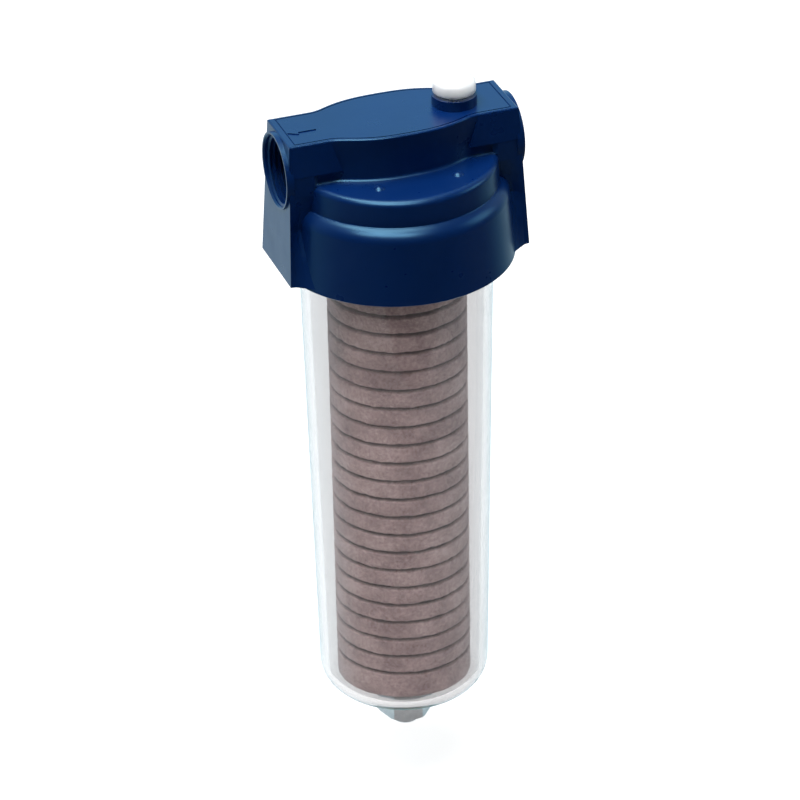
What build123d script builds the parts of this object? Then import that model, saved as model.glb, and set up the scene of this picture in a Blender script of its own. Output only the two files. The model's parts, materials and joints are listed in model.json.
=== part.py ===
"""In-line cartridge water filter: blue head with two ports and an air-release button, clear
screw-on bowl, grooved cartridge, and a drain under the bowl.  Millimetres, +Z up, +X towards the
inlet.  The origin is on the bowl's axis, level with the tip of the drain."""
from build123d import *
import math
import os

# ---------------------------------------------------------------- driving dimensions
SEAM_Z = 257.5              # the collar's lower edge; heights below are counted from it

# Head
TOP_H = 68.4                # top face
SHOULDER_H = 36.5           # where the collar's shoulder levels out
TIER_H = 47.8               # top of the crescent step
COLLAR_R = 54.1             # at its lower edge
COLLAR_TOP_R = 51.6         # under the shoulder
SHOULDER_R = 8.0            # rounding of the shoulder
TIER_R = 47.0
TIER_ROUND = 2.8            # rounding of its edge
END_X_TOP = 53.7            # the two end faces, at the top and at the foot
END_X_LOW = 56.8
END_Y_TOP = 15.3            # their half widths
END_Y_LOW = 20.3
PORT_SIDE = 16.7            # half width of the block round a port
EDGE = 0.8                  # rounding of the top face's edge
BAR_SWELL = 7.2             # how far the bar swells on each side in the middle
BAR_FOOT = 1.5              # rounding where the bar stands on the step
WING_LOW_H = 2.0            # lower edge of the end faces
PORT_H = 50.4               # axis of both ports
PORT_BORE_R = 16.0
PORT_MOUTH_R = 16.6
PORT_RING_R = 17.5
PORT_RING_X = 56.0          # outer face of the port's ring
PORT_DEPTH = 11.0
PORT_BOSS_X = 44.0          # inboard end of the port's boss
PASSAGE_R = 11.0
SPIGOT_R = 13.6
SPIGOT_BORE_R = 9.0
SPIGOT_LOW_H = 10.0
SEAL_FACE_H = 26.1          # face that meets the cartridge's upper gasket
CEILING_H = 30.5

# Air release
VENT_X = 28.9
VENT_BOSS_R = 10.2
VENT_BOSS_H = 73.1
VENT_POCKET_R = 7.0
VENT_POCKET_H = 66.5
BUTTON_R = 9.7
BUTTON_LOW_H = 74.5
BUTTON_TOP_H = 80.5
STEM_R = 1.5

# Bowl
BOWL_R = 44.2               # at the seam
BOWL_LOW_R = 40.3           # where the lower rounding starts
BOWL_WALL = 4.0
BOWL_FLOOR_H = -231.5       # underside
BOWL_ROUND = 12.0
THREAD_R = 48.0             # the collar's bore
NECK_R = 47.3               # the bowl's threaded band
SEAL_BORE_R = 45.0
LAND_R = 44.7
NECK_TOP_H = 29.8

# Cartridge
SLEEVE_R = 32.0
SLEEVE_BORE_R = 16.1
SLEEVE_LOW_H = -223.5
SLEEVE_LENGTH = 248.0
CORE_R = 16.0
CORE_BORE_R = 14.0
GROOVE_PITCH = 9.67
GROOVE_FIRST_H = -209.8     # the lowest groove
GROOVES = 24
GROOVE_WIDTH = 1.2
GROOVE_DEPTH = 1.2
GASKET = 1.5

# Drain
BOSS_R = 12.5
BOSS_LOW_H = -240.0
INSERT_R = 8.5
SHANK_R = 6.55
HEX_FLATS = 24.0
HEX_TURN = -12.0            # direction of one of its corners, degrees
HEX_LOW_H = -251.5
DRAIN_BORE_R = 3.5
SCREW_R = 3.43
NOSE_R = 7.0
NOSE_LOW_H = -257.5


# ---------------------------------------------------------------- helpers
def at(x, y, h):
    """A place given by its height from the seam."""
    return Location((x, y, SEAM_Z + h))


def rod(radius, low, high, x=0.0, y=0.0):
    """Vertical cylinder between two heights."""
    body = Cylinder(radius, high - low, align=(Align.CENTER, Align.CENTER, Align.MIN))
    return at(x, y, low) * body


def tube(radius, bore, low, high, x=0.0, y=0.0):
    return rod(radius, low, high, x, y) - rod(bore, low - 1, high + 1, x, y)


def cross_rod(radius, x_start, x_end, h):
    """Cylinder along X."""
    length = abs(x_end - x_start)
    body = Rot(0, 90, 0) * Cylinder(radius, length)
    return at((x_start + x_end) / 2, 0, h) * body


def turned(points):
    """Solid of revolution from (radius, height) points."""
    outline = Polyline([(r, 0, SEAM_Z + h) for r, h in points], close=True)
    return revolve(make_face(outline), Axis.Z)


def ring_seal(radius, section, h):
    return at(0, 0, h) * Torus(radius, section)


def end_x(h):
    """How far out the leaning end faces are at a height."""
    return END_X_LOW + (END_X_TOP - END_X_LOW) * (h - WING_LOW_H) / (TOP_H - WING_LOW_H)


def end_y(h):
    """Half width of the end faces at a height."""
    return END_Y_LOW + (END_Y_TOP - END_Y_LOW) * (h - WING_LOW_H) / (TOP_H - WING_LOW_H)


def plan_face(h, reach_x, side_y, bulge, span):
    """Bar outline seen from above: straight ends and a flowing swell in the middle."""
    half = [(-36, 0), (-26, 0.37), (-16, 0.82), (0, 1), (16, 0.82), (26, 0.37), (36, 0)]
    half = [(x * span, side_y + part * bulge) for x, part in half]
    join_x = 36 * span
    front = Spline([(x, -y) for x, y in half], tangents=[(1, 0), (1, 0)])
    back = Spline([(-x, y) for x, y in half], tangents=[(-1, 0), (-1, 0)])
    right = Polyline([(join_x, -side_y), (reach_x, -side_y), (reach_x, side_y), (join_x, side_y)])
    left = Polyline([(-join_x, side_y), (-reach_x, side_y), (-reach_x, -side_y), (-join_x, -side_y)])
    return at(0, 0, h) * make_face(front + right + back + left)


def block_between(low_corners, low_h, high_corners, high_h):
    """Straight-sided block from one plan outline to another."""
    low = at(0, 0, low_h) * make_face(Polyline(low_corners, close=True))
    high = at(0, 0, high_h) * make_face(Polyline(high_corners, close=True))
    return loft([low, high], ruled=True)


# ---------------------------------------------------------------- head
def collar_and_tier():
    """The skirt round the bowl's neck, its rounded shoulder and the crescent step above it."""
    round_x = COLLAR_TOP_R - SHOULDER_R
    round_h = SHOULDER_H - SHOULDER_R
    step = 0.6
    foot_h = round_h + math.sqrt(SHOULDER_R ** 2 - (TIER_R + step - round_x) ** 2)
    mid = math.radians(32)
    rim_r = TIER_R - 0.4
    s = math.sqrt(0.5)
    p = lambda r, h: (r, 0, SEAM_Z + h)
    edges = [
        Line(p(0, 0), p(COLLAR_R - 0.5, 0)),
        Line(p(COLLAR_R - 0.5, 0), p(COLLAR_R, 0.5)),
        Line(p(COLLAR_R, 0.5), p(COLLAR_TOP_R, round_h)),
        ThreePointArc(p(COLLAR_TOP_R, round_h),
                      p(round_x + SHOULDER_R * math.cos(mid), round_h + SHOULDER_R * math.sin(mid)),
                      p(TIER_R + step, foot_h)),
        ThreePointArc(p(TIER_R + step, foot_h), p(TIER_R + 0.275 * step, foot_h + 0.375 * step),
                      p(TIER_R, foot_h + step)),
        Line(p(TIER_R, foot_h + step), p(rim_r, TIER_H - TIER_ROUND)),
        ThreePointArc(p(rim_r, TIER_H - TIER_ROUND),
                      p(rim_r - TIER_ROUND * (1 - s), TIER_H - TIER_ROUND * (1 - s)),
                      p(rim_r - TIER_ROUND, TIER_H)),
        Line(p(rim_r - TIER_ROUND, TIER_H), p(0, TIER_H)),
        Line(p(0, TIER_H), p(0, 0)),
    ]
    return revolve(make_face(edges), Axis.Z)


def bar():
    """The cross bar that joins both ports, swollen in the middle.

    Its top edge is softened, and its foot is rounded where it stands on the step."""
    low = plan_face(30.0, end_x(30.0), 14.9, BAR_SWELL - 0.6, 0.90)
    high = plan_face(TOP_H, END_X_TOP, END_Y_TOP, BAR_SWELL, 1.0)
    body = loft([low, high], ruled=True)
    body = fillet(body.edges().group_by(Axis.Z)[-1], EDGE)
    slab = at(0, 0, TIER_H - 3) * Box(200, 140, 6)
    standing = body + slab
    foot = [edge for edge in standing.edges()
            if abs(edge.center().Z - SEAM_Z - TIER_H) < 0.02 and abs(edge.center().Y) < 40 and abs(edge.center().X) < 80]
    rounded = fillet(foot, BAR_FOOT) & (at(0, 0, TIER_H + 20) * Box(100, 140, 40))
    return body + rounded


def end_pad(side):
    """Flat cheek beside a port, proud of the bar's wall, with a level lower edge."""
    wide = PORT_SIDE + 0.12
    low = [(side * x, y) for x, y in ((29.8, -wide), (53.6, -wide), (53.6, wide), (29.8, wide))]
    high = [(side * x, y) for x, y in ((34.5, -15.38), (53.0, -15.38), (53.0, 15.38), (34.5, 15.38))]
    return block_between(low, 53.4, high, TOP_H - EDGE)


def end_block(side):
    """One end of the head: a leaning end face whose sides flow back into the collar.

    Built from level outlines, each from the collar out to the end face, joined by straight walls."""
    def outline(points):
        points = [(side * x, y) for x, y in points]
        return [(x, -y) for x, y in points] + list(reversed(points))

    levels = [
        (WING_LOW_H, ((42.0, 30.6), (45.5, 27.6), (48.4, 25.1), (50.8, 23.2), (54.4, 20.7), (END_X_LOW, END_Y_LOW))),
        (16.0, ((41.0, 22.4), (45.0, 20.9), (48.6, 19.7), (51.0, 19.1), (54.0, 19.0), (end_x(16.0), end_y(16.0)))),
        (27.0, ((40.2, 15.2), (44.0, 14.9), (48.0, 14.8), (51.0, 15.1), (53.4, 16.8), (end_x(27.0), end_y(27.0)))),
        (36.0, ((40.0, 15.0), (42.5, 15.0), (45.0, 15.2), (50.0, 15.8), (53.0, 16.9), (end_x(36.0), end_y(36.0)))),
        (44.0, ((39.8, 14.9), (41.0, 15.0), (43.0, PORT_SIDE), (49.0, PORT_SIDE), (52.0, 16.8), (end_x(44.0), end_y(44.0)))),
        (53.1, ((39.8, 14.9), (41.0, 15.0), (43.0, PORT_SIDE), (49.0, PORT_SIDE), (51.5, PORT_SIDE), (end_x(53.1), end_y(53.1)))),
        (TOP_H - EDGE, ((39.8, 14.7), (41.0, 14.8), (43.0, 15.0), (49.0, 15.1), (51.0, 15.15), (end_x(TOP_H - EDGE), 15.25))),
    ]
    body = None
    for (low_h, low), (high_h, high) in zip(levels, levels[1:]):
        block = block_between(outline(low), low_h, outline(high), high_h)
        body = block if body is None else body + block
    return body


def port_boss(side):
    """Wall round a port, flat at the sides, and the round ring that stands out of the end face."""
    wall = cross_rod(PORT_RING_R, side * PORT_BOSS_X, side * 54.0, PORT_H)
    wall = wall & (at(side * 50, 0, PORT_H) * Box(20, 2 * PORT_SIDE - 0.6, 40))
    return wall + cross_rod(PORT_RING_R, side * 52.5, side * PORT_RING_X, PORT_H)


def port_bore(side):
    """Threaded length, its widened mouth and the passage inboard of it."""
    end = PORT_RING_X - PORT_DEPTH
    bore = cross_rod(PORT_BORE_R, side * end, side * (PORT_RING_X + 1), PORT_H)
    mouth = at(side * (PORT_RING_X - 0.4), 0, PORT_H) * (
        Rot(0, side * 90, 0) * Cone(PORT_BORE_R, PORT_MOUTH_R, 0.8))
    reach = -5.0 if side < 0 else 18.0
    passage = cross_rod(PASSAGE_R, side * (end + 0.5), reach if side > 0 else SPIGOT_BORE_R, PORT_H)
    return bore + mouth + passage


def border_groove():
    """Fine engraved line that follows the top face's edge a little way in."""
    outer = extrude(plan_face(TOP_H - 0.4, 50.9, 13.7, BAR_SWELL, 1.0), 1.0)
    inner = extrude(plan_face(TOP_H - 0.5, 50.3, 13.1, BAR_SWELL, 1.0), 1.2)
    return outer - inner


def flow_arrow():
    """Raised arrow by the outlet, pointing the way the water leaves."""
    points = [(-50, 0), (-45.5, 2.6), (-45.5, 0.7), (-37, 0.7), (-37, -0.7), (-45.5, -0.7), (-45.5, -2.6)]
    face = Pos(0, -2, 0) * make_face(Polyline([(x, y, 0) for x, y in points], close=True))
    return at(0, 0, TOP_H - 0.2) * extrude(face, 0.6)


def head():
    body = collar_and_tier() + bar()
    for side in (-1, 1):
        body = body + end_block(side) + end_pad(side) + port_boss(side)
    body = body + rod(VENT_BOSS_R, TOP_H - 2, VENT_BOSS_H, VENT_X)
    for x in (-17.2, 19.8):
        for y in (-28.4, 28.4):
            body = body + at(x, y, TIER_H - 1.9) * Sphere(3.2)
    body = body + flow_arrow()

    body = body - rod(THREAD_R, -1, 22)
    body = body - rod(SEAL_BORE_R, 21, CEILING_H)
    body = body - tube(34.0, 19.0, CEILING_H - 1, 40.0)
    body = body + rod(19.0, SEAL_FACE_H, CEILING_H + 1) + rod(SPIGOT_R, SPIGOT_LOW_H, SEAL_FACE_H + 1)
    for side in (-1, 1):
        body = body - port_bore(side)
    body = body - rod(SPIGOT_BORE_R, SPIGOT_LOW_H - 1, PORT_H)
    body = body - rod(8.0, 39.0, PORT_H, VENT_X)
    body = body - rod(VENT_POCKET_R, VENT_POCKET_H, VENT_BOSS_H + 1, VENT_X)
    body = body - rod(2.6, 60.0, VENT_POCKET_H + 1, VENT_X)
    body = body - rod(4.5, 58.0, 64.0, VENT_X)
    return body - border_groove()


# ---------------------------------------------------------------- air release
def vent_button():
    """White cap with a hub that slides in the boss and grips the stem."""
    cap = rod(BUTTON_R, BUTTON_LOW_H, BUTTON_TOP_H, VENT_X)
    cap = fillet(cap.edges().group_by(Axis.Z)[-1], 1.8)
    cap = fillet(cap.edges().group_by(Axis.Z)[0], 0.4)
    hub = rod(6.6, 72.3, BUTTON_LOW_H + 1, VENT_X)
    return cap + hub - rod(STEM_R, 71, 78.0, VENT_X)


def vent_stem():
    """Pin with a shallow groove for the clip near its lower end."""
    pin = rod(STEM_R, 60.0, 78.0, VENT_X)
    return pin - tube(STEM_R + 1, 1.1, 61.2, 61.8, VENT_X)


def vent_spring():
    """Compression spring round the stem, between the pocket's floor and the button's hub."""
    low, high, wire, radius, turns = 66.5, 72.3, 0.4, 4.0, 4
    pitch = (high - low - 2 * wire) / turns
    path = at(VENT_X, 0, low + wire) * Helix(pitch, pitch * turns, radius)
    section = Plane(origin=path @ 0, z_dir=path % 0) * Circle(wire - 0.02)
    return sweep(section, path=path, is_frenet=True)


def vent_valve_washer():
    return tube(4.0, STEM_R, 62.4, 63.95, VENT_X)


def vent_backing_washer():
    return tube(3.8, STEM_R, 61.8, 62.4, VENT_X)


def vent_clip():
    """Open retaining clip in the stem's groove."""
    ring = tube(3.0, 1.1, 61.2, 61.8, VENT_X)
    return ring - at(VENT_X + 2.0, 0, 61.5) * Box(4.0, 1.8, 2.0)


# ---------------------------------------------------------------- bowl
def bowl():
    """Clear bowl: tapered wall, rounded foot, threaded neck band, seal land and drain boss."""
    top_of_round = BOWL_FLOOR_H + BOWL_ROUND
    inner_low_r = BOWL_LOW_R - BOWL_WALL
    floor_in = BOWL_FLOOR_H + 3.5
    inner_round = BOWL_ROUND - 3.5
    s = math.sqrt(0.5)
    p = lambda r, h: (r, 0, SEAM_Z + h)
    edges = [
        Line(p(0, BOWL_FLOOR_H), p(BOWL_LOW_R - BOWL_ROUND, BOWL_FLOOR_H)),
        ThreePointArc(p(BOWL_LOW_R - BOWL_ROUND, BOWL_FLOOR_H),
                      p(BOWL_LOW_R - BOWL_ROUND * (1 - s), top_of_round - BOWL_ROUND * s),
                      p(BOWL_LOW_R, top_of_round)),
        Line(p(BOWL_LOW_R, top_of_round), p(BOWL_R, 0)),
        Line(p(BOWL_R, 0), p(BOWL_R + 0.1, 2)),
        Line(p(BOWL_R + 0.1, 2), p(NECK_R, 5)),
        Line(p(NECK_R, 5), p(NECK_R, 20)),
        Line(p(NECK_R, 20), p(LAND_R, 21)),
        Line(p(LAND_R, 21), p(LAND_R, NECK_TOP_H)),
        Line(p(LAND_R, NECK_TOP_H), p(BOWL_R - BOWL_WALL, NECK_TOP_H)),
        Line(p(BOWL_R - BOWL_WALL, NECK_TOP_H), p(BOWL_R - BOWL_WALL, 0)),
        Line(p(BOWL_R - BOWL_WALL, 0), p(inner_low_r, floor_in + inner_round)),
        ThreePointArc(p(inner_low_r, floor_in + inner_round),
                      p(inner_low_r - inner_round * (1 - s), floor_in + inner_round * (1 - s)),
                      p(inner_low_r - inner_round, floor_in)),
        Line(p(inner_low_r - inner_round, floor_in), p(0, floor_in)),
        Line(p(0, floor_in), p(0, BOWL_FLOOR_H)),
    ]
    body = revolve(make_face(edges), Axis.Z)
    body = body - tube(50, 42.2, 24.0, 27.2)
    boss = rod(BOSS_R, BOSS_LOW_H, BOWL_FLOOR_H + 1)
    body = body + boss
    body = body - rod(INSERT_R, BOSS_LOW_H - 1, floor_in - 1)
    return body - rod(6.6, floor_in - 2, floor_in + 1)


def bowl_o_ring():
    return ring_seal(43.65, 1.3, 25.6)


# ---------------------------------------------------------------- cartridge
def filter_sleeve():
    """Fibre body with evenly spaced shallow grooves round it."""
    top = SLEEVE_LOW_H + SLEEVE_LENGTH
    points = [(SLEEVE_BORE_R, SLEEVE_LOW_H), (SLEEVE_R, SLEEVE_LOW_H)]
    for i in range(GROOVES):
        middle = GROOVE_FIRST_H + i * GROOVE_PITCH
        points += [(SLEEVE_R, middle - GROOVE_WIDTH / 2), (SLEEVE_R - GROOVE_DEPTH, middle - GROOVE_WIDTH / 4),
                   (SLEEVE_R - GROOVE_DEPTH, middle + GROOVE_WIDTH / 4), (SLEEVE_R, middle + GROOVE_WIDTH / 2)]
    points += [(SLEEVE_R, top), (SLEEVE_BORE_R, top)]
    return turned(points)


def filter_core():
    """Perforated support tube."""
    body = tube(CORE_R, CORE_BORE_R, SLEEVE_LOW_H, SLEEVE_LOW_H + SLEEVE_LENGTH)
    rows = 12
    step = SLEEVE_LENGTH / rows
    for row in range(rows):
        h = SLEEVE_LOW_H + step * (row + 0.5)
        for turn in (0, 60, 120):
            hole = Rot(0, 0, turn + 30 * (row % 2)) * (Rot(0, 90, 0) * Cylinder(3.0, 2 * CORE_R + 4))
            body = body - at(0, 0, h) * hole
    return body


def top_gasket():
    top = SLEEVE_LOW_H + SLEEVE_LENGTH
    return tube(20.0, CORE_BORE_R, top, top + GASKET)


def bottom_gasket():
    return tube(20.0, CORE_BORE_R, SLEEVE_LOW_H - GASKET, SLEEVE_LOW_H)


def cartridge_plug():
    """Closed plug in the cartridge's lower end, on four feet so that water reaches the drain."""
    face_h = SLEEVE_LOW_H - GASKET
    body = rod(20.0, face_h - 1.5, face_h) + rod(13.7, face_h - 0.5, face_h + 12)
    body = body - rod(11.5, face_h + 1, face_h + 13)
    for turn in range(4):
        foot = at(0, 0, face_h - 2.25) * (Rot(0, 0, 90 * turn) * (Pos(14.5, 0, 0) * Box(9.0, 2.0, 1.5)))
        body = body + foot
    return body


# ---------------------------------------------------------------- drain
def drain_insert():
    return tube(INSERT_R, 6.6, BOSS_LOW_H, BOWL_FLOOR_H + 2.5)


def drain_gasket():
    return tube(11.0, 7.0, BOSS_LOW_H - 1.2, BOSS_LOW_H)


def drain_body():
    """Hexagon with chamfered corners, a shank up into the insert, and a bore with a seat."""
    top = BOSS_LOW_H - 1.2
    corner_r = HEX_FLATS / math.sqrt(3)
    prism = extrude(at(0, 0, HEX_LOW_H) * (Rot(0, 0, HEX_TURN) * RegularPolygon(corner_r, 6)), top - HEX_LOW_H)
    dome = turned([(0, HEX_LOW_H), (corner_r - 1.2, HEX_LOW_H), (corner_r + 0.2, HEX_LOW_H + 0.9),
                   (corner_r + 0.2, top - 0.9), (corner_r - 1.2, top), (0, top)])
    body = (prism & dome) + rod(SHANK_R, top - 1, BOWL_FLOOR_H + 2.0)
    body = body - rod(DRAIN_BORE_R, HEX_LOW_H - 1, -237.5)
    body = body - turned([(0, -237.6), (DRAIN_BORE_R, -237.6), (1.6, -235.6), (0, -235.6)])
    return body - rod(1.6, -236.0, BOWL_FLOOR_H + 3)


def drain_screw():
    """Screw with a cone tip, a seal groove, a round nose and a hole for the water."""
    tip = turned([(0, -238.4), (SCREW_R, -238.4), (1.5, -236.6), (0, -236.6)])
    body = rod(SCREW_R, HEX_LOW_H - 0.4, -238.3) + tip
    body = body - tube(SCREW_R + 1, 2.4, -243.2, -241.9)
    nose = turned([(0, NOSE_LOW_H), (NOSE_R - 1.2, NOSE_LOW_H), (NOSE_R - 0.3, NOSE_LOW_H + 0.8),
                   (NOSE_R, NOSE_LOW_H + 2.0), (NOSE_R, HEX_LOW_H - 0.4), (0, HEX_LOW_H - 0.4)])
    body = body + nose
    body = body - rod(1.5, NOSE_LOW_H - 1, -245.5)
    return body - at(0, 0, -246.5) * (Rot(0, 90, 0) * Cylinder(1.2, 10))


def drain_o_ring():
    return ring_seal(2.95, 0.5, -242.55)


NODES = {
    "head": head,
    "vent_button": vent_button,
    "vent_stem": vent_stem,
    "vent_spring": vent_spring,
    "vent_valve_washer": vent_valve_washer,
    "vent_backing_washer": vent_backing_washer,
    "vent_clip": vent_clip,
    "bowl": bowl,
    "bowl_o_ring": bowl_o_ring,
    "filter_sleeve": filter_sleeve,
    "filter_core": filter_core,
    "top_gasket": top_gasket,
    "bottom_gasket": bottom_gasket,
    "cartridge_plug": cartridge_plug,
    "drain_insert": drain_insert,
    "drain_gasket": drain_gasket,
    "drain_body": drain_body,
    "drain_screw": drain_screw,
    "drain_o_ring": drain_o_ring,
}

os.makedirs("parts", exist_ok=True)
for name, make in NODES.items():
    export_step(make(), f"parts/{name}.step")
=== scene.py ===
"""Looks for the in-line water filter: materials, threads, fibre cartridge, studio and camera."""
import json
import math

import bmesh
import bpy
from mathutils import Matrix, Vector, noise

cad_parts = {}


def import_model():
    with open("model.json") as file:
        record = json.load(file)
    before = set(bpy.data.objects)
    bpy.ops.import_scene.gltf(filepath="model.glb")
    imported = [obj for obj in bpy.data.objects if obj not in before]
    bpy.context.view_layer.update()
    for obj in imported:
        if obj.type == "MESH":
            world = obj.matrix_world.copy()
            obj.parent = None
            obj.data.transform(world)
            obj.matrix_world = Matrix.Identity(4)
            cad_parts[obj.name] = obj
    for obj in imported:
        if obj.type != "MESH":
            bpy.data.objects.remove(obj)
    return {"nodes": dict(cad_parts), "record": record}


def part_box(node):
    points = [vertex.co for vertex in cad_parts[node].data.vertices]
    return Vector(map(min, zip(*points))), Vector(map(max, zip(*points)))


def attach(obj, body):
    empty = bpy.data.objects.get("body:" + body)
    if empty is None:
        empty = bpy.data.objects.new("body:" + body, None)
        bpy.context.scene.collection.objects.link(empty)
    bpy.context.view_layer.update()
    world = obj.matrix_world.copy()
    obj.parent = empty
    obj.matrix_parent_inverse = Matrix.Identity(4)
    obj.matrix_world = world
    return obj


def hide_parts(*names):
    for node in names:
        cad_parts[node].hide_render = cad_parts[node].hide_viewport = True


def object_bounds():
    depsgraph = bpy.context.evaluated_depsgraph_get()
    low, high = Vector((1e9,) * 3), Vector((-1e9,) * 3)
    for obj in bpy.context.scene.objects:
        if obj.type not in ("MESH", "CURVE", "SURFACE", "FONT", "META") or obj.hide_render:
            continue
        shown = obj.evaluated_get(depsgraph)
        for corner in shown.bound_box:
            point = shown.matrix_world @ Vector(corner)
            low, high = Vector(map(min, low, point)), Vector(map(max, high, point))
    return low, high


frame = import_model()
cad_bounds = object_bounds()

MM = 0.001
UP = Vector((0, 0, 1))

# Places read from the frame, metres
HEAD_LOW, HEAD_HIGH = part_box("head")
BOWL_LOW, BOWL_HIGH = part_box("bowl")
SLEEVE_LOW, SLEEVE_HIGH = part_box("filter_sleeve")
SEAM_Z = HEAD_LOW.z                             # the collar's lower edge

# Threads
PIPE_PITCH = 2.309 * MM
NECK_PITCH = 5.0 * MM

# The fibre body's grooves
GROOVES = 24
GROOVE_PITCH = 9.67 * MM
FIRST_GROOVE_Z = SLEEVE_LOW.z + 13.7 * MM
BORE_R = 16.1 * MM

# Studio, metres
FLOOR_BELOW = 20.0 * MM                         # room for the bowl to be screwed down
FLOOR_FRONT = -0.40                             # the floor's front edge
FLOOR_REACH = 6.0
AIM = (0, 0, 0.25)                              # where the lamps point, about mid-height


# ---------------------------------------------------------------- node helpers
def new_material(name):
    material = bpy.data.materials.new(name)
    material.use_nodes = True
    tree = material.node_tree
    return material, tree, tree.nodes["Principled BSDF"]


def add(tree, kind, **values):
    """A node with its properties and input sockets set by name."""
    node = tree.nodes.new(kind)
    for key, value in values.items():
        if hasattr(node, key):
            setattr(node, key, value)
        else:
            node.inputs[key.replace("_", " ")].default_value = value
    return node


def grey(value):
    return (value, value, value)


def noise_at(tree, scale, detail=3.0, roughness=0.5, stretch=(1, 1, 1)):
    """Noise in object space, metres, so the grain keeps its real size."""
    place = tree.nodes.new("ShaderNodeTexCoord")
    mapping = tree.nodes.new("ShaderNodeMapping")
    mapping.inputs["Scale"].default_value = stretch
    texture = add(tree, "ShaderNodeTexNoise", Scale=scale, Detail=detail, Roughness=roughness)
    tree.links.new(place.outputs["Object"], mapping.inputs["Vector"])
    tree.links.new(mapping.outputs["Vector"], texture.inputs["Vector"])
    return texture.outputs["Fac"]


def ramp(tree, source, stops):
    """Colour ramp from (position, colour) stops."""
    node = tree.nodes.new("ShaderNodeValToRGB")
    elements = node.color_ramp.elements
    while len(elements) < len(stops):
        elements.new(0.5)
    for element, (position, colour) in zip(elements, stops):
        element.position = position
        element.color = (*colour, 1)
    tree.links.new(source, node.inputs["Fac"])
    return node.outputs["Color"]


def remap(tree, source, before, after):
    """Carries the range before onto the range after."""
    node = add(tree, "ShaderNodeMapRange")
    node.inputs["From Min"].default_value, node.inputs["From Max"].default_value = before
    node.inputs["To Min"].default_value, node.inputs["To Max"].default_value = after
    tree.links.new(source, node.inputs["Value"])
    return node.outputs["Result"]


def spread(tree, source, low, high):
    """Carries noise, which stays mostly within 0.3 to 0.7, onto low..high."""
    return remap(tree, source, (0.3, 0.7), (low, high))


def span(tree, source, low, high):
    """Turns low..high into 0..1."""
    return remap(tree, source, (low, high), (0.0, 1.0))


def blend(tree, share, first, second):
    """Mixes two colour signals. Inputs 6 and 7 are the Mix node's colours A and B."""
    node = add(tree, "ShaderNodeMix", data_type="RGBA")
    tree.links.new(share, node.inputs[0])
    tree.links.new(first, node.inputs[6])
    tree.links.new(second, node.inputs[7])
    return node.outputs[2]


def bump(tree, shader, source, strength, distance):
    node = tree.nodes.new("ShaderNodeBump")
    node.inputs["Strength"].default_value = strength
    node.inputs["Distance"].default_value = distance
    tree.links.new(source, node.inputs["Height"])
    tree.links.new(node.outputs["Normal"], shader.inputs["Normal"])


# ---------------------------------------------------------------- materials
def blue_plastic():
    """Injection-moulded navy plastic: satin, with faint flow clouds and a very fine orange peel."""
    material, tree, shader = new_material("blue_plastic")
    clouds = noise_at(tree, 26, detail=3)
    colour = ramp(tree, clouds, [(0.30, (0.0003, 0.0128, 0.080)),
                                 (0.70, (0.0005, 0.0150, 0.094))])
    tree.links.new(colour, shader.inputs["Base Color"])
    tree.links.new(spread(tree, noise_at(tree, 90, detail=3), 0.27, 0.33), shader.inputs["Roughness"])
    shader.inputs["Specular IOR Level"].default_value = 0.5
    shader.inputs["Specular Tint"].default_value = (0.32, 0.76, 1.0, 1)
    bump(tree, shader, noise_at(tree, 420, detail=2), 0.05, 0.0002)
    return material


def white_plastic():
    material, tree, shader = new_material("white_plastic")
    colour = ramp(tree, noise_at(tree, 90), [(0.3, (0.88, 0.88, 0.87)), (0.7, (0.92, 0.92, 0.91))])
    tree.links.new(colour, shader.inputs["Base Color"])
    tree.links.new(spread(tree, noise_at(tree, 300), 0.32, 0.42), shader.inputs["Roughness"])
    shader.inputs["Subsurface Weight"].default_value = 1.0
    shader.inputs["Subsurface Radius"].default_value = (1.0, 1.0, 1.0)
    shader.inputs["Subsurface Scale"].default_value = 0.030
    bump(tree, shader, noise_at(tree, 1200, detail=2), 0.08, 0.0001)
    return material


def clear_plastic():
    """Polished clear plastic. Lamps shine through it, so that what it holds is lit."""
    material, tree, shader = new_material("clear_plastic")
    shader.inputs["Base Color"].default_value = (0.715, 0.71, 0.715, 1)
    shader.inputs["Transmission Weight"].default_value = 1.0
    shader.inputs["Roughness"].default_value = 0.015
    shader.inputs["IOR"].default_value = 1.49
    lamps = tree.nodes.new("ShaderNodeBsdfTransparent")
    lamps.inputs["Color"].default_value = (0.90, 0.90, 0.905, 1)
    path = tree.nodes.new("ShaderNodeLightPath")
    mix = tree.nodes.new("ShaderNodeMixShader")
    output = tree.nodes["Material Output"]
    tree.links.new(path.outputs["Is Shadow Ray"], mix.inputs["Fac"])
    tree.links.new(shader.outputs["BSDF"], mix.inputs[1])
    tree.links.new(lamps.outputs["BSDF"], mix.inputs[2])
    tree.links.new(mix.outputs["Shader"], output.inputs["Surface"])
    bump(tree, shader, noise_at(tree, 55, detail=1), 0.06, 0.0004)
    return material


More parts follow.
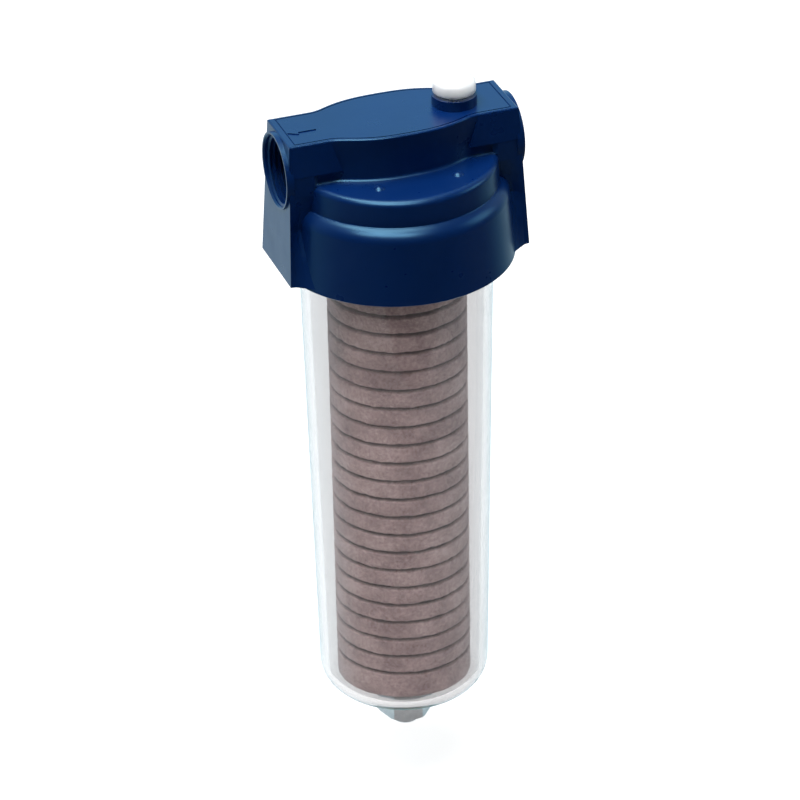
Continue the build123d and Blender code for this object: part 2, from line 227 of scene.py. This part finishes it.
def filter_fibre():
    """Bonded fibre: grey brown, cloudy, with short tangled hairs in the surface. Its grooves are
    darkened with painted shade, read from the sleeve's cut attribute.
    """
    material, tree, shader = new_material("filter_fibre")
    cloud = noise_at(tree, 60, detail=6, roughness=0.65)
    hairs = noise_at(tree, 700, detail=5, roughness=0.7)
    both = add(tree, "ShaderNodeMix", data_type="FLOAT")
    both.inputs[0].default_value = 0.45
    tree.links.new(cloud, both.inputs[2])
    tree.links.new(hairs, both.inputs[3])
    colour = ramp(tree, both.outputs[0], [(0.36, (0.215, 0.128, 0.128)),
                                          (0.50, (0.360, 0.242, 0.232)),
                                          (0.64, (0.530, 0.390, 0.368))])
    # Painted shade: the cut attribute (how deep the grooves are) mixes the colour towards a dark
    # brown, standing in for the shade that falls in the grooves.
    deep = add(tree, "ShaderNodeAttribute", attribute_name="cut")
    painted_groove_shade = add(tree, "ShaderNodeMix", data_type="RGBA")
    # The dark brown of the painted shade in the grooves.
    painted_groove_shade.inputs[7].default_value = (0.090, 0.058, 0.056, 1)
    tree.links.new(deep.outputs["Fac"], painted_groove_shade.inputs[0])
    tree.links.new(colour, painted_groove_shade.inputs[6])
    tree.links.new(painted_groove_shade.outputs[2], shader.inputs["Base Color"])
    shader.inputs["Roughness"].default_value = 0.92
    shader.inputs["Sheen Weight"].default_value = 0.25
    shader.inputs["Sheen Roughness"].default_value = 0.6
    bump(tree, shader, hairs, 0.7, 0.0006)
    return material


def plated_metal():
    """Dull zinc plate: soft cloudy crystals and fine turning marks."""
    material, tree, shader = new_material("plated_metal")
    cloud = noise_at(tree, 350, detail=4)
    colour = ramp(tree, cloud, [(0.3, (0.64, 0.65, 0.67)), (0.7, (0.76, 0.77, 0.79))])
    tree.links.new(colour, shader.inputs["Base Color"])
    shader.inputs["Metallic"].default_value = 0.50
    tree.links.new(spread(tree, noise_at(tree, 500), 0.30, 0.45), shader.inputs["Roughness"])
    bump(tree, shader, noise_at(tree, 500, detail=3, stretch=(1, 1, 14)), 0.12, 0.0002)
    return material


def turned_brass():
    material, tree, shader = new_material("turned_brass")
    colour = ramp(tree, noise_at(tree, 250), [(0.3, (0.55, 0.36, 0.13)), (0.7, (0.70, 0.50, 0.21))])
    tree.links.new(colour, shader.inputs["Base Color"])
    shader.inputs["Metallic"].default_value = 1.0
    tree.links.new(spread(tree, noise_at(tree, 400), 0.25, 0.4), shader.inputs["Roughness"])
    bump(tree, shader, noise_at(tree, 500, stretch=(1, 1, 14)), 0.15, 0.0002)
    return material


def seal_rubber():
    material, tree, shader = new_material("seal_rubber")
    colour = ramp(tree, noise_at(tree, 400), [(0.3, (0.012, 0.012, 0.013)),
                                              (0.7, (0.025, 0.025, 0.026))])
    tree.links.new(colour, shader.inputs["Base Color"])
    tree.links.new(spread(tree, noise_at(tree, 600), 0.5, 0.7), shader.inputs["Roughness"])
    bump(tree, shader, noise_at(tree, 1500), 0.2, 0.0001)
    return material


def core_plastic():
    material, tree, shader = new_material("core_plastic")
    colour = ramp(tree, noise_at(tree, 120), [(0.3, (0.62, 0.61, 0.58)), (0.7, (0.70, 0.69, 0.66))])
    tree.links.new(colour, shader.inputs["Base Color"])
    tree.links.new(spread(tree, noise_at(tree, 300), 0.45, 0.6), shader.inputs["Roughness"])
    bump(tree, shader, noise_at(tree, 900), 0.1, 0.0002)
    return material


BLUE = blue_plastic()
CLEAR = clear_plastic()
FIBRE = filter_fibre()
FINISH = {
    "blue_plastic": BLUE,
    "white_plastic": white_plastic(),
    "clear_plastic": CLEAR,
    "filter_media": FIBRE,
    "core_plastic": core_plastic(),
    "seal_rubber": seal_rubber(),
    "plated_metal": plated_metal(),
    "brass": turned_brass(),
}


def dress_nodes():
    """Gives every CAD node the finish of its material slot."""
    slots = {part["node"]: part["material_slot"] for part in frame["record"]["subparts"]}
    for name, node in frame["nodes"].items():
        material = FINISH[slots[name]]
        if not node.material_slots:
            node.data.materials.append(material)
        for slot in node.material_slots:
            slot.material = material


# ---------------------------------------------------------------- pieces
def mesh_piece(name, points, faces, material, body, smooth=True):
    mesh = bpy.data.meshes.new(name)
    mesh.from_pydata([tuple(p) for p in points], [], faces)
    mesh.validate()
    piece = bpy.data.objects.new(name, mesh)
    bpy.context.scene.collection.objects.link(piece)
    work = bmesh.new()
    work.from_mesh(mesh)
    bmesh.ops.recalc_face_normals(work, faces=work.faces)
    work.to_mesh(mesh)
    work.free()
    for polygon in mesh.polygons:
        polygon.use_smooth = smooth
    mesh.materials.append(material)
    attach(piece, body)
    return piece


def thread_ridge(name, root_r, crest_r, pitch, turns, origin, along, side,
                 material, body):
    """One helical ridge, from root_r to crest_r, that fades in and out at its ends."""
    steps_per_turn = 72
    steps = int(turns * steps_per_turn)
    base = 0.40 * pitch
    tip = 0.10 * pitch
    cross = along.cross(side)
    points = []
    faces = []
    for i in range(steps + 1):
        angle = math.tau * i / steps_per_turn
        fade = min(1.0, i / (steps_per_turn / 4), (steps - i) / (steps_per_turn / 4))
        crest = root_r + (crest_r - root_r) * fade
        radial = side * math.cos(angle) + cross * math.sin(angle)
        middle = origin + along * (pitch * i / steps_per_turn)
        points += [middle + radial * root_r - along * base,
                   middle + radial * crest - along * tip,
                   middle + radial * crest + along * tip,
                   middle + radial * root_r + along * base]
        if i:
            a = 4 * (i - 1)
            b = 4 * i
            faces += [(a + k, a + (k + 1) % 4, b + (k + 1) % 4, b + k) for k in range(4)]
    faces += [(0, 1, 2, 3), (4 * steps + 3, 4 * steps + 2, 4 * steps + 1, 4 * steps)]
    return mesh_piece(name, points, faces, material, body, smooth=False)


def port_threads():
    """Pipe thread inside each port."""
    for name in ("inlet", "outlet"):
        port = next(m for m in frame["record"]["mounts"] if m["name"] == name + "_port")
        axis = Vector(port["axis"])
        bore_r = port["dims"]["r_mm"] * MM
        inner = Vector(port["pos_m"]) - axis * (0.5 * port["dims"]["length_mm"] * MM)
        start = inner + axis * PIPE_PITCH * 0.3
        thread_ridge(name + "_thread", bore_r + 0.15 * MM, bore_r - 0.9 * MM, PIPE_PITCH, 3.9,
                     start, axis, UP, BLUE, "head")


def neck_threads():
    """Coarse thread round the bowl's neck band."""
    band_r = 0.5 * (BOWL_HIGH.x - BOWL_LOW.x)
    low = Vector((0, 0, SEAM_Z + 7.0 * MM))
    thread_ridge("bowl_thread", band_r - 0.2 * MM, band_r + 0.55 * MM, NECK_PITCH, 2.2,
                 low, UP, Vector((1, 0, 0)), CLEAR, "bowl")


def fibre_sleeve():
    """The cartridge's fibre body: a felted surface with slightly ragged grooves round it. The depth
    of each cut is also stored as the cut attribute, which paints shade into the grooves.
    """
    outer_r = 0.5 * (SLEEVE_HIGH.x - SLEEVE_LOW.x)
    low, high = SLEEVE_LOW.z, SLEEVE_HIGH.z
    around = 240                                # points round the body
    end_edge = 0.4 * MM                         # height of the rounded edge at each end
    half_groove = 1.9 * MM
    cut_rows = (-1.5, -1.2, -0.9, -0.6, -0.3, 0.0, 0.3, 0.6, 0.9, 1.2, 1.5, 1.9)
    levels = [low, low + end_edge]
    for i in range(GROOVES):
        middle = FIRST_GROOVE_Z + i * GROOVE_PITCH
        start = levels[-1]
        gap = middle - half_groove - start
        levels += [start + gap * k / 5 for k in range(1, 6)]
        levels += [middle + d * MM for d in cut_rows]
    rest = high - end_edge - levels[-1]
    levels += [levels[-1] + rest * k / 4 for k in range(1, 5)] + [high]

    def groove_depth(z, angle):
        """How deep the surface is cut at this place."""
        nearest = round((z - FIRST_GROOVE_Z) / GROOVE_PITCH)
        if nearest < 0 or nearest >= GROOVES:
            return 0.0
        place = Vector((math.cos(angle) * 5, math.sin(angle) * 5, nearest * 7.3))
        wander = (0.35 * noise.noise(place) + 0.15 * noise.noise(place * 4.7)) * MM
        width = (1.15 + 0.40 * noise.noise(place * 3.1)) * MM
        off = abs(z - (FIRST_GROOVE_Z + nearest * GROOVE_PITCH) - wander)
        edge = max(0.0, 1.0 - (off / width) ** 2)
        return (1.7 + 0.6 * noise.noise(place * 2.3)) * MM * edge

    points = []
    shade = []
    for z in levels:
        for k in range(around):
            angle = math.tau * k / around
            x, y = math.cos(angle), math.sin(angle)
            felt = 0.16 * MM * noise.noise(Vector((x * 14, y * 14, z * 420)))
            felt += 0.10 * MM * noise.noise(Vector((x * 40, y * 40, z * 1300)))
            cut = groove_depth(z, angle)
            # Painted shade for the grooves: 0 on the surface, 1 where the cut is at full depth.
            shade.append(min(1.0, cut / (1.6 * MM)))
            r = outer_r + min(0.0, felt - 0.12 * MM) - cut
            if z in (low, high):
                r -= 0.5 * MM
            points.append((r * x, r * y, z))
    rows = len(levels)
    for z in (high, low):
        for k in range(around):
            angle = math.tau * k / around
            points.append((BORE_R * math.cos(angle), BORE_R * math.sin(angle), z))
            shade.append(0.0)
    faces = []
    total = rows + 2
    for row in range(total):
        for k in range(around):
            n = (k + 1) % around
            a, b = row * around, ((row + 1) % total) * around
            faces.append((a + k, a + n, b + n, b + k))
    piece = mesh_piece("fibre_sleeve", points, faces, FIBRE, "cartridge")
    # The cut attribute carries the painted shade of the grooves, not a colour the fibre has.
    piece.data.attributes.new("cut", "FLOAT", "POINT").data.foreach_set("value", shade)
    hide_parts("filter_sleeve")


# ---------------------------------------------------------------- studio
def area_light(name, place, target, size, power, colour=(1, 1, 1)):
    data = bpy.data.lights.new(name, "AREA")
    data.shape = "RECTANGLE"
    data.size, data.size_y = size
    data.energy = power
    data.color = colour
    light = bpy.data.objects.new(name, data)
    light.location = place
    light.rotation_euler = (Vector(target) - Vector(place)).to_track_quat("-Z", "Y").to_euler()
    bpy.context.scene.collection.objects.link(light)
    return light


def floor():
    """Pale floor, below the bowl's travel. It ends a little way in front, where the room is dim."""
    mesh = bpy.data.meshes.new("floor")
    low = cad_bounds[0][2] - FLOOR_BELOW
    corners = [(-FLOOR_REACH, FLOOR_FRONT, low), (FLOOR_REACH, FLOOR_FRONT, low),
               (FLOOR_REACH, FLOOR_REACH, low), (-FLOOR_REACH, FLOOR_REACH, low)]
    mesh.from_pydata(corners, [], [(0, 1, 2, 3)])
    piece = bpy.data.objects.new("floor", mesh)
    bpy.context.scene.collection.objects.link(piece)
    material, tree, shader = new_material("floor")
    colour = ramp(tree, noise_at(tree, 3), [(0.3, grey(0.50)), (0.7, grey(0.52))])
    tree.links.new(colour, shader.inputs["Base Color"])
    shader.inputs["Roughness"].default_value = 0.9
    shader.inputs["Specular IOR Level"].default_value = 0.1
    shader.inputs["Emission Color"].default_value = (1.0, 1.0, 1.0, 1)
    shader.inputs["Emission Strength"].default_value = 0.75
    mesh.materials.append(material)
    piece.visible_glossy = False


def world():
    """A pale room, dim in front of the object. Mirrored rays find a cool sheen, rays through the
    bowl a grey, and the camera itself one plain white."""
    back = bpy.data.worlds.new("studio")
    back.use_nodes = True
    tree = back.node_tree
    shade = tree.nodes["Background"]
    place = tree.nodes.new("ShaderNodeTexCoord")
    split = tree.nodes.new("ShaderNodeSeparateXYZ")
    path = tree.nodes.new("ShaderNodeLightPath")
    tree.links.new(place.outputs["Generated"], split.inputs[0])
    depth = span(tree, split.outputs["Y"], -0.2, 0.75)
    below = ramp(tree, depth, [(0.0, grey(0.03)), (0.45, (0.14, 0.34, 0.40)),
                               (1.0, (0.66, 0.87, 0.96))])
    above = ramp(tree, depth, [(0.0, grey(0.03)), (0.45, (0.36, 0.40, 0.42)),
                               (1.0, (0.38, 0.82, 1.0))])
    mirrored = blend(tree, span(tree, split.outputs["Z"], -0.05, 0.15), below, above)
    plain = ramp(tree, depth, [(0.0, grey(0.03)), (0.45, grey(0.38)), (1.0, grey(0.85))])
    through = ramp(tree, depth, [(0.0, grey(0.50)), (0.45, grey(0.70)), (1.0, grey(0.88))])
    light = blend(tree, path.outputs["Is Glossy Ray"], plain, mirrored)
    light = blend(tree, path.outputs["Is Transmission Ray"], light, through)
    tree.links.new(light, shade.inputs["Color"])
    shade.inputs["Strength"].default_value = 1.1
    seen = tree.nodes.new("ShaderNodeBackground")
    seen.inputs["Color"].default_value = (0.96, 0.96, 0.96, 1)
    mix = tree.nodes.new("ShaderNodeMixShader")
    tree.links.new(path.outputs["Is Camera Ray"], mix.inputs["Fac"])
    tree.links.new(shade.outputs["Background"], mix.inputs[1])
    tree.links.new(seen.outputs["Background"], mix.inputs[2])
    tree.links.new(mix.outputs["Shader"], tree.nodes["World Output"].inputs["Surface"])
    bpy.context.scene.world = back


def studio():
    world()
    floor()
    area_light("overhead", (-0.20, -0.05, 1.45), AIM, (0.9, 0.8), 24)
    sheen = area_light("high_front", (-0.55, -1.00, 1.75), (0, 0, 0.30), (1.6, 0.7), 40)
    sheen.visible_diffuse = False
    area_light("right", (1.5, -0.4, 0.9), AIM, (0.8, 0.8), 5, (0.6, 0.9, 1.0))


def camera():
    """Long lens from the front left, a little above, with a slight roll."""
    data = bpy.data.cameras.new("camera")
    data.sensor_width = 36.0
    data.lens = 171.0
    data.clip_start, data.clip_end = 0.05, 30.0
    forward = Vector((0.2861, 0.8120, -0.5087)).normalized()
    roll = math.radians(-1.15)
    right = forward.cross(UP).normalized()
    over = right.cross(forward)
    across = right * math.cos(roll) + over * math.sin(roll)
    above = across.cross(forward)
    view = bpy.data.objects.new("camera", data)
    turn = Matrix((across, above, -forward)).transposed().to_4x4()
    place = Vector((-0.5023, -1.4271, SEAM_Z + 0.8148))
    view.matrix_world = Matrix.Translation(place) @ turn
    bpy.context.scene.collection.objects.link(view)
    bpy.context.scene.camera = view


dress_nodes()
port_threads()
neck_threads()
fibre_sleeve()
studio()
camera()
bpy.context.scene.view_settings.view_transform = "Standard"
